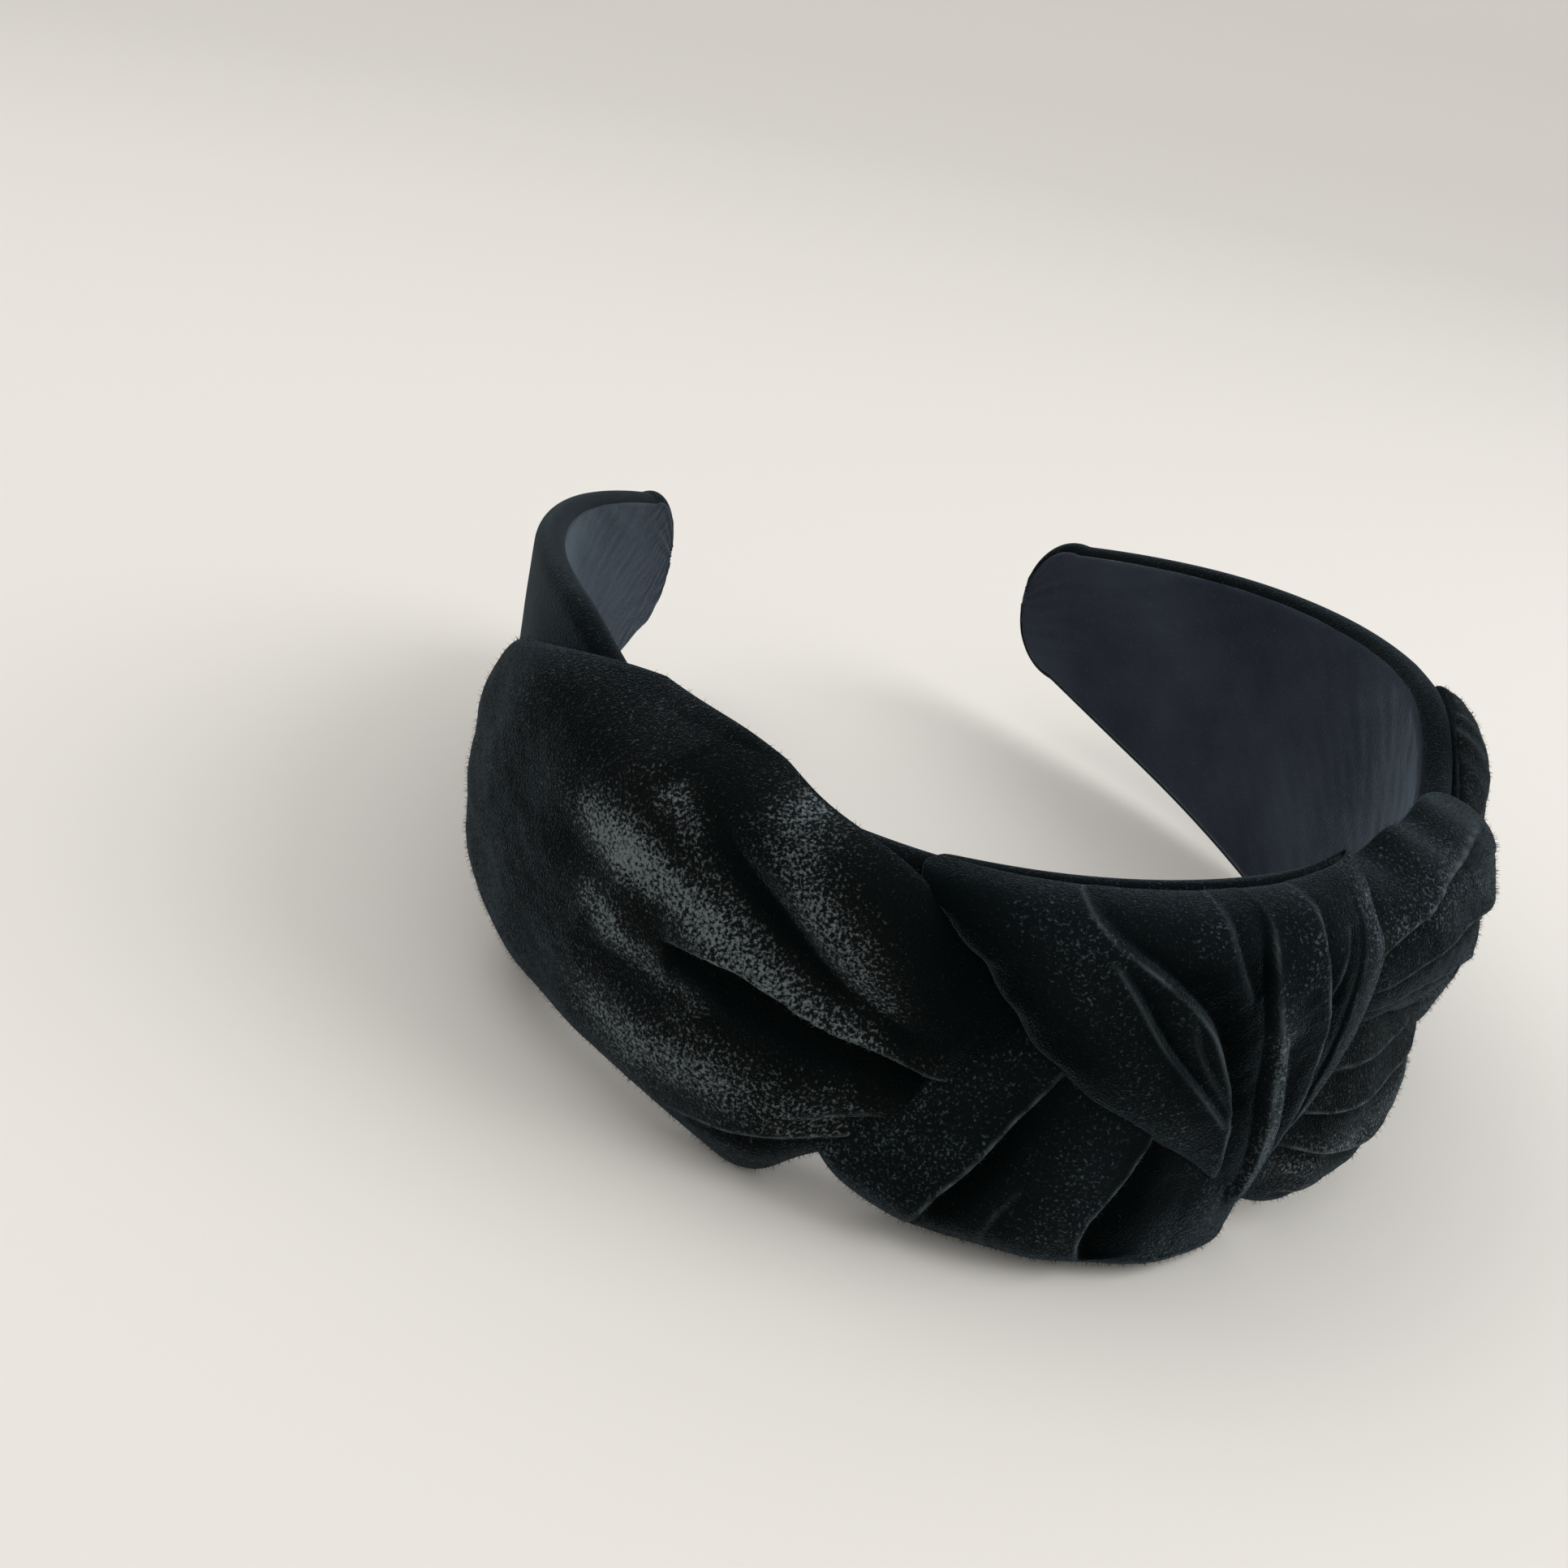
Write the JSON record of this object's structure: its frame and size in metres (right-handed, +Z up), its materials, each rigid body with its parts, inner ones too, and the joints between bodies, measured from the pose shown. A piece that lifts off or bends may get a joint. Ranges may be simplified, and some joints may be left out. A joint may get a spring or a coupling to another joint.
{
  "type": "headband",
  "caption": "Wide padded headband: an open plastic hoop wrapped in black velvet with a plait of three padded velvet tubes over the crown.",
  "frame": {"origin": "middle of the rest plane under the hoop, which stands on its lower edge", "axes": "+Z up across the width of the band, +Y from the crown towards the tips, +X to the right"},
  "size_m": [0.149, 0.1778, 0.056],
  "materials": {
    "velvet": "black crushed velvet pile",
    "lining_velvet": "smooth black short-pile velvet",
    "hoop_plastic": "moulded black plastic",
    "wadding": "white polyester wadding and sponge",
    "glue": "set hot-melt glue",
    "thread": "black sewing thread"
  },
  "bodies": {
    "crown": {"crown_cover": "velvet", "crown_lining": "lining_velvet", "end_glue_left": "glue", "end_glue_right": "glue", "fan_strand_cover": "velvet", "fan_strand_fill": "wadding", "foam_strip": "wadding", "hoop_core_crown": "hoop_plastic", "puff_strand_cover": "velvet", "puff_strand_fill": "wadding", "rising_strand_cover": "velvet", "rising_strand_fill": "wadding", "tack_stitches": "thread"},
    "left_leg": {"hoop_core_left": "hoop_plastic", "leg_cover_left": "velvet", "leg_lining_left": "lining_velvet"},
    "right_leg": {"hoop_core_right": "hoop_plastic", "leg_cover_right": "velvet", "leg_lining_right": "lining_velvet"}
  },
  "joints": [
    {"name": "left_leg_flex", "type": "hinge", "parent": "crown", "child": "left_leg", "pos_m": [-0.06932, -0.00585, 0.028], "axis": [0, 0, 1], "range_deg": [0, 15], "stiffness_Nm_per_rad": 0.5},
    {"name": "right_leg_flex", "type": "hinge", "parent": "crown", "child": "right_leg", "pos_m": [0.06932, -0.00585, 0.028], "axis": [0, 0, -1], "range_deg": [0, 15], "stiffness_Nm_per_rad": 0.5}
  ]
}
